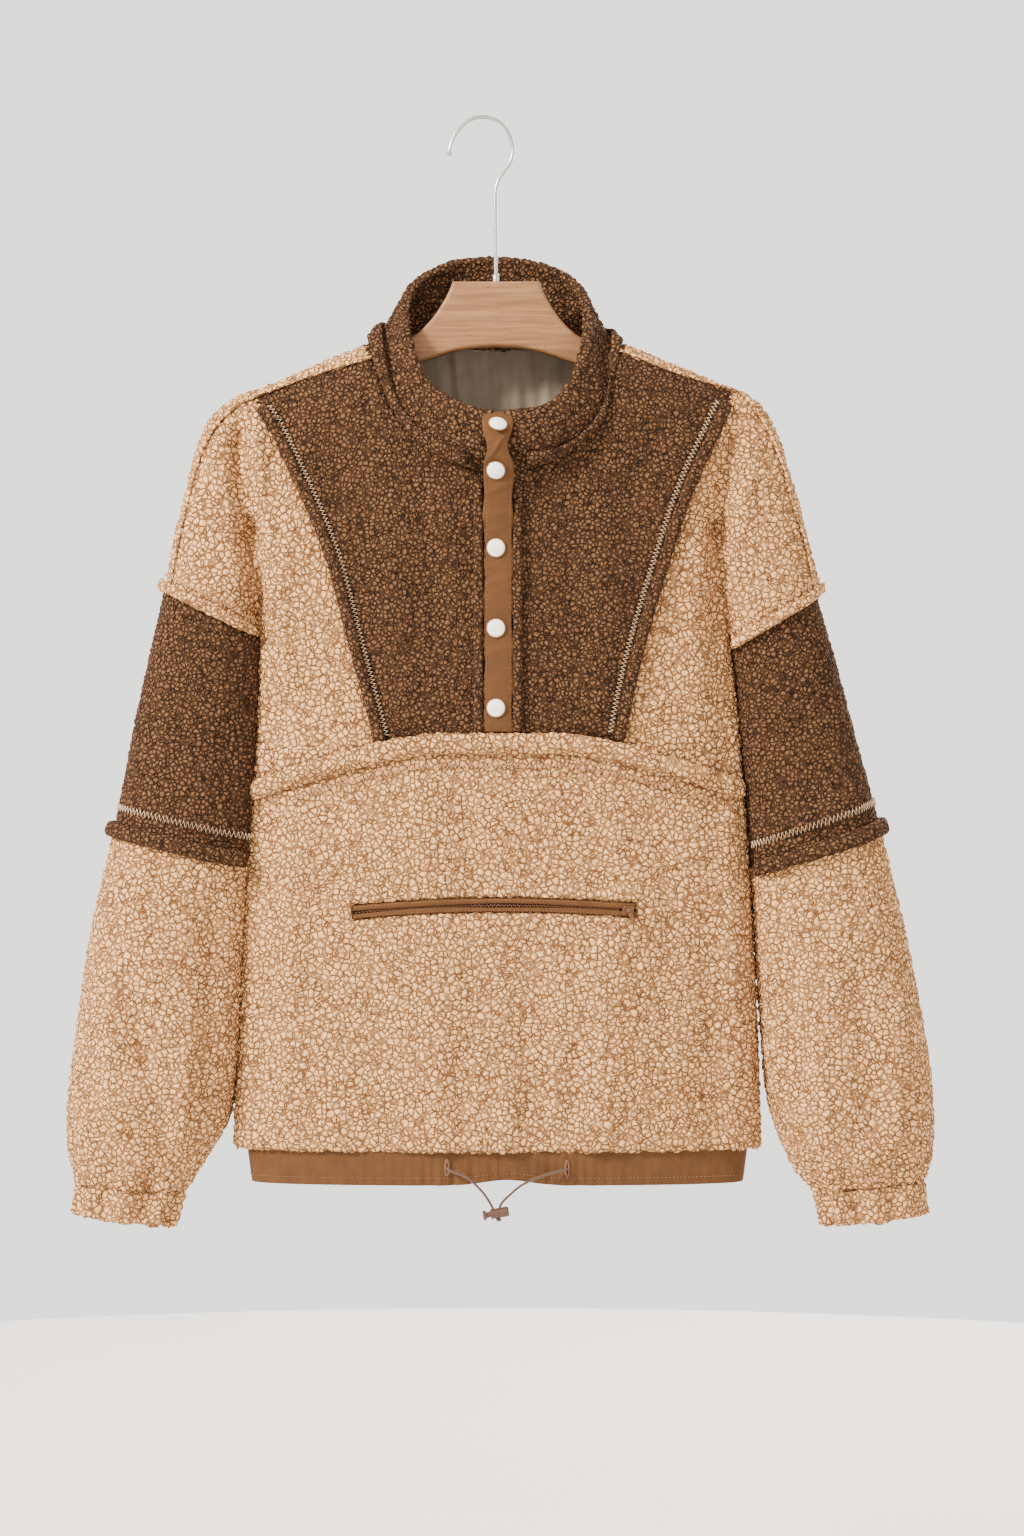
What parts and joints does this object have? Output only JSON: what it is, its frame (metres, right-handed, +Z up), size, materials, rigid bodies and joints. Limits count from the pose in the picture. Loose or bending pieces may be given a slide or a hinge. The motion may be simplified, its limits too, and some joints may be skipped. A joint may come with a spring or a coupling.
{
  "type": "sherpa fleece pullover on a hanger",
  "caption": "Sherpa fleece pullover with stand collar, snap placket, zipped welt pocket and drawcord hem, hung on a wooden hanger with a wire hook.",
  "frame": {"origin": "where the inside of the hook's bend rests on its rail", "axes": "+Z up along the hanging garment, its front faces -Y, +X to the right of someone who faces the front"},
  "size_m": [0.6969, 0.124, 0.8895],
  "materials": {
    "cream_fleece": "matt curly pile",
    "brown_fleece": "matt curly pile",
    "brown_woven": "smooth woven nylon",
    "taupe_lining": "satin woven lining",
    "ivory_plastic": "smooth",
    "brown_metal": "painted",
    "brown_cord": "braided elastic",
    "brown_plastic": "moulded",
    "beech": "clear satin",
    "steel": "brushed"
  },
  "bodies": {
    "pullover": {"side_left": "cream_fleece", "side_right": "cream_fleece", "lower_front": "cream_fleece", "back_panel": "cream_fleece", "sleeve_lower_left": "cream_fleece", "sleeve_lower_right": "cream_fleece", "cuff_left": "cream_fleece", "cuff_right": "cream_fleece", "drop_edge_left": "cream_fleece", "drop_edge_right": "cream_fleece", "arch_edge": "cream_fleece", "yoke_left": "brown_fleece", "yoke_right": "brown_fleece", "sleeve_band_left": "brown_fleece", "sleeve_band_right": "brown_fleece", "band_edge_left": "brown_fleece", "band_edge_right": "brown_fleece", "yoke_edge_left": "brown_fleece", "yoke_edge_right": "brown_fleece", "collar": "brown_fleece", "collar_edge": "brown_fleece", "placket_edge_left": "brown_fleece", "placket_edge_right": "brown_fleece", "placket": "brown_woven", "hem_band": "brown_woven", "pocket_welt_upper": "brown_woven", "pocket_welt_lower": "brown_woven", "zip_tape": "brown_woven", "lining": "taupe_lining", "snap_1": "ivory_plastic", "snap_2": "ivory_plastic", "snap_3": "ivory_plastic", "snap_4": "ivory_plastic", "snap_5": "ivory_plastic", "zip_slider": "brown_metal", "cord_left": "brown_cord", "cord_right": "brown_cord", "cord_knot": "brown_cord", "lock_barrel": "brown_plastic", "hanger_board": "beech", "hanger_hook": "steel"},
    "pull_tab": {"pull_tab": "brown_metal"},
    "plunger": {"lock_plunger": "brown_plastic"}
  },
  "joints": [
    {"name": "pull_tab_hinge", "type": "hinge", "parent": "pullover", "child": "pull_tab", "pos_m": [0.11539, -0.04531, -0.63131], "axis": [-0.8966, -0.0899, -0.4335], "range_deg": [0, 150]},
    {"name": "plunger_press", "type": "slide", "parent": "pullover", "child": "plunger", "axis": [0.9848, 0, 0.1736], "range_m": [0, 0.003], "stiffness_N_per_m": 400}
  ]
}
